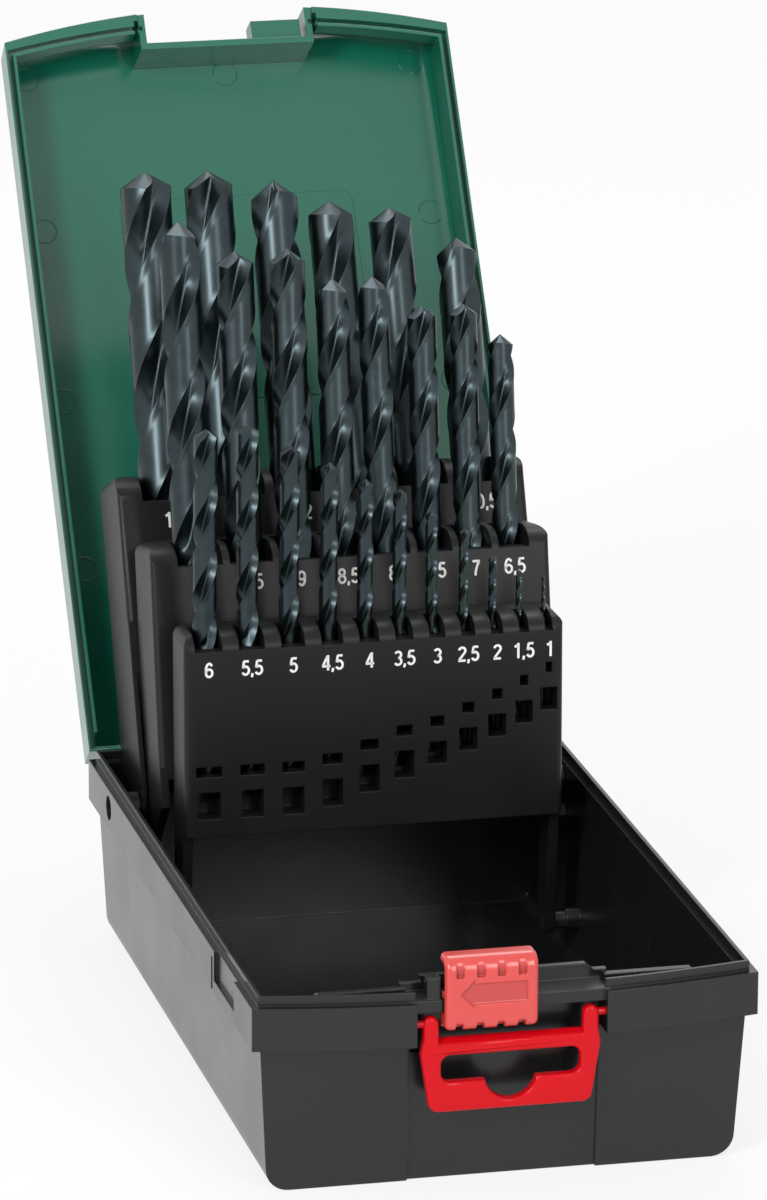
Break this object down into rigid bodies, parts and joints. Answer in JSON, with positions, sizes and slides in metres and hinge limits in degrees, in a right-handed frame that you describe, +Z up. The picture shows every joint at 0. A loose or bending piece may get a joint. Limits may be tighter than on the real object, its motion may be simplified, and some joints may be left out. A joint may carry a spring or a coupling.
{
  "type": "drill bit case",
  "caption": "Plastic drill bit case standing open: hinged lid, fold-out drill banks with twist drills, sliding latch and swing-out hanger.",
  "frame": {"origin": "centre of the base's flat underside", "axes": "+X to the right of someone facing the latch, +Y from the latch to the lid hinge, +Z up"},
  "size_m": [0.12, 0.3265, 0.2108],
  "materials": {
    "base_plastic": "satin, finely textured",
    "bank_plastic": "matte, spark-eroded texture",
    "lid_plastic": "satin",
    "latch_plastic": "satin",
    "hanger_plastic": "satin",
    "pin_plastic": "satin",
    "pin_steel": "plain",
    "drill_steel": "steam-blackened, oiled"
  },
  "bodies": {
    "case_base": {"base_shell": "base_plastic", "hinge_pins": "pin_steel", "front_pivot_pins": "pin_plastic", "middle_pivot_pins": "pin_plastic", "rear_pivot_pins": "pin_plastic", "hanger_pins": "hanger_plastic"},
    "lid": {"lid_shell": "lid_plastic"},
    "bank_front": {"front_bank": "bank_plastic"},
    "bank_middle": {"middle_bank": "bank_plastic"},
    "bank_rear": {"rear_bank": "bank_plastic"},
    "latch": {"latch_slider": "latch_plastic"},
    "hanger_loop": {"hanger": "hanger_plastic"},
    "drill_13_0": {"drill_13_0": "drill_steel"},
    "drill_12_5": {"drill_12_5": "drill_steel"},
    "drill_12_0": {"drill_12_0": "drill_steel"},
    "drill_11_5": {"drill_11_5": "drill_steel"},
    "drill_11_0": {"drill_11_0": "drill_steel"},
    "drill_10_5": {"drill_10_5": "drill_steel"},
    "drill_10_0": {"drill_10_0": "drill_steel"},
    "drill_9_5": {"drill_9_5": "drill_steel"},
    "drill_9_0": {"drill_9_0": "drill_steel"},
    "drill_8_5": {"drill_8_5": "drill_steel"},
    "drill_8_0": {"drill_8_0": "drill_steel"},
    "drill_7_5": {"drill_7_5": "drill_steel"},
    "drill_7_0": {"drill_7_0": "drill_steel"},
    "drill_6_5": {"drill_6_5": "drill_steel"},
    "drill_6_0": {"drill_6_0": "drill_steel"},
    "drill_5_5": {"drill_5_5": "drill_steel"},
    "drill_5_0": {"drill_5_0": "drill_steel"},
    "drill_4_5": {"drill_4_5": "drill_steel"},
    "drill_4_0": {"drill_4_0": "drill_steel"},
    "drill_3_5": {"drill_3_5": "drill_steel"},
    "drill_3_0": {"drill_3_0": "drill_steel"},
    "drill_2_5": {"drill_2_5": "drill_steel"},
    "drill_2_0": {"drill_2_0": "drill_steel"},
    "drill_1_5": {"drill_1_5": "drill_steel"},
    "drill_1_0": {"drill_1_0": "drill_steel"}
  },
  "joints": [
    {"name": "lid_hinge", "type": "hinge", "parent": "case_base", "child": "lid", "pos_m": [0, 0.0977, 0.0454], "axis": [-1, 0, 0], "range_deg": [-124.3, 0]},
    {"name": "front_bank_hinge", "type": "hinge", "parent": "case_base", "child": "bank_front", "pos_m": [0, 0.04548, 0.0124], "axis": [-1, 0, 0], "range_deg": [-91.3, 0]},
    {"name": "middle_bank_hinge", "type": "hinge", "parent": "case_base", "child": "bank_middle", "pos_m": [0, 0.06606, 0.0333], "axis": [-1, 0, 0], "range_deg": [-101.4, 0]},
    {"name": "rear_bank_hinge", "type": "hinge", "parent": "case_base", "child": "bank_rear", "pos_m": [0, 0.07004, 0.0415], "axis": [-1, 0, 0], "range_deg": [-112.8, 0]},
    {"name": "latch_slide", "type": "slide", "parent": "case_base", "child": "latch", "axis": [1, 0, 0], "range_m": [0, 0.01]},
    {"name": "hanger_hinge", "type": "hinge", "parent": "case_base", "child": "hanger_loop", "pos_m": [0, -0.0993, 0.0408], "axis": [-1, 0, 0], "range_deg": [0, 90]},
    {"name": "lift_13_0", "type": "slide", "parent": "bank_rear", "child": "drill_13_0", "axis": [0.0192, 0.3874, 0.9217], "range_m": [0, 0.0749]},
    {"name": "lift_12_5", "type": "slide", "parent": "bank_rear", "child": "drill_12_5", "axis": [0.0122, 0.3875, 0.9218], "range_m": [0, 0.0753]},
    {"name": "lift_12_0", "type": "slide", "parent": "bank_rear", "child": "drill_12_0", "axis": [0.0157, 0.3875, 0.9217], "range_m": [0, 0.0787]},
    {"name": "lift_11_5", "type": "slide", "parent": "bank_rear", "child": "drill_11_5", "axis": [0, 0.3875, 0.9219], "range_m": [0, 0.0757]},
    {"name": "lift_11_0", "type": "slide", "parent": "bank_rear", "child": "drill_11_0", "axis": [0, 0.3875, 0.9219], "range_m": [0, 0.0781]},
    {"name": "lift_10_5", "type": "slide", "parent": "bank_rear", "child": "drill_10_5", "axis": [0.0192, 0.3874, 0.9217], "range_m": [0, 0.0777]},
    {"name": "lift_10_0", "type": "slide", "parent": "bank_middle", "child": "drill_10_0", "axis": [0, 0.1977, 0.9803], "range_m": [0, 0.0549]},
    {"name": "lift_9_5", "type": "slide", "parent": "bank_middle", "child": "drill_9_5", "axis": [0.0105, 0.1976, 0.9802], "range_m": [0, 0.0549]},
    {"name": "lift_9_0", "type": "slide", "parent": "bank_middle", "child": "drill_9_0", "axis": [0.0192, 0.1976, 0.9801], "range_m": [0, 0.0549]},
    {"name": "lift_8_5", "type": "slide", "parent": "bank_middle", "child": "drill_8_5", "axis": [0.0122, 0.1976, 0.9802], "range_m": [0, 0.0549]},
    {"name": "lift_8_0", "type": "slide", "parent": "bank_middle", "child": "drill_8_0", "axis": [0, 0.1977, 0.9803], "range_m": [0, 0.0549]},
    {"name": "lift_7_5", "type": "slide", "parent": "bank_middle", "child": "drill_7_5", "axis": [0.0157, 0.1976, 0.9802], "range_m": [0, 0.0549]},
    {"name": "lift_7_0", "type": "slide", "parent": "bank_middle", "child": "drill_7_0", "axis": [0.0192, 0.1976, 0.9801], "range_m": [0, 0.0549]},
    {"name": "lift_6_5", "type": "slide", "parent": "bank_middle", "child": "drill_6_5", "axis": [0.0122, 0.1976, 0.9802], "range_m": [0, 0.0549]},
    {"name": "lift_6_0", "type": "slide", "parent": "bank_front", "child": "drill_6_0", "axis": [0.014, 0.0227, 0.9996], "range_m": [0, 0.0439]},
    {"name": "lift_5_5", "type": "slide", "parent": "bank_front", "child": "drill_5_5", "axis": [0.007, 0.0227, 0.9997], "range_m": [0, 0.0433]},
    {"name": "lift_5_0", "type": "slide", "parent": "bank_front", "child": "drill_5_0", "axis": [0.0122, 0.0227, 0.9997], "range_m": [0, 0.042]},
    {"name": "lift_4_5", "type": "slide", "parent": "bank_front", "child": "drill_4_5", "axis": [0.014, 0.0227, 0.9996], "range_m": [0, 0.0408]},
    {"name": "lift_4_0", "type": "slide", "parent": "bank_front", "child": "drill_4_0", "axis": [0.0105, 0.0227, 0.9997], "range_m": [0, 0.0406]},
    {"name": "lift_3_5", "type": "slide", "parent": "bank_front", "child": "drill_3_5", "axis": [0.007, 0.0227, 0.9997], "range_m": [0, 0.0386]},
    {"name": "lift_3_0", "type": "slide", "parent": "bank_front", "child": "drill_3_0", "axis": [0, 0.0227, 0.9997], "range_m": [0, 0.0356]},
    {"name": "lift_2_5", "type": "slide", "parent": "bank_front", "child": "drill_2_5", "axis": [0.0105, 0.0227, 0.9997], "range_m": [0, 0.0366]},
    {"name": "lift_2_0", "type": "slide", "parent": "bank_front", "child": "drill_2_0", "axis": [0.0122, 0.0227, 0.9997], "range_m": [0, 0.036]},
    {"name": "lift_1_5", "type": "slide", "parent": "bank_front", "child": "drill_1_5", "axis": [0.0105, 0.0227, 0.9997], "range_m": [0, 0.0309]},
    {"name": "lift_1_0", "type": "slide", "parent": "bank_front", "child": "drill_1_0", "axis": [0.0087, 0.0227, 0.9997], "range_m": [0, 0.027]}
  ],
  "couplings": [
    {"joint": "front_bank_hinge", "follows": "lid_hinge", "ratio": 0.73451},
    {"joint": "middle_bank_hinge", "follows": "lid_hinge", "ratio": 0.81577},
    {"joint": "rear_bank_hinge", "follows": "lid_hinge", "ratio": 0.90748}
  ]
}
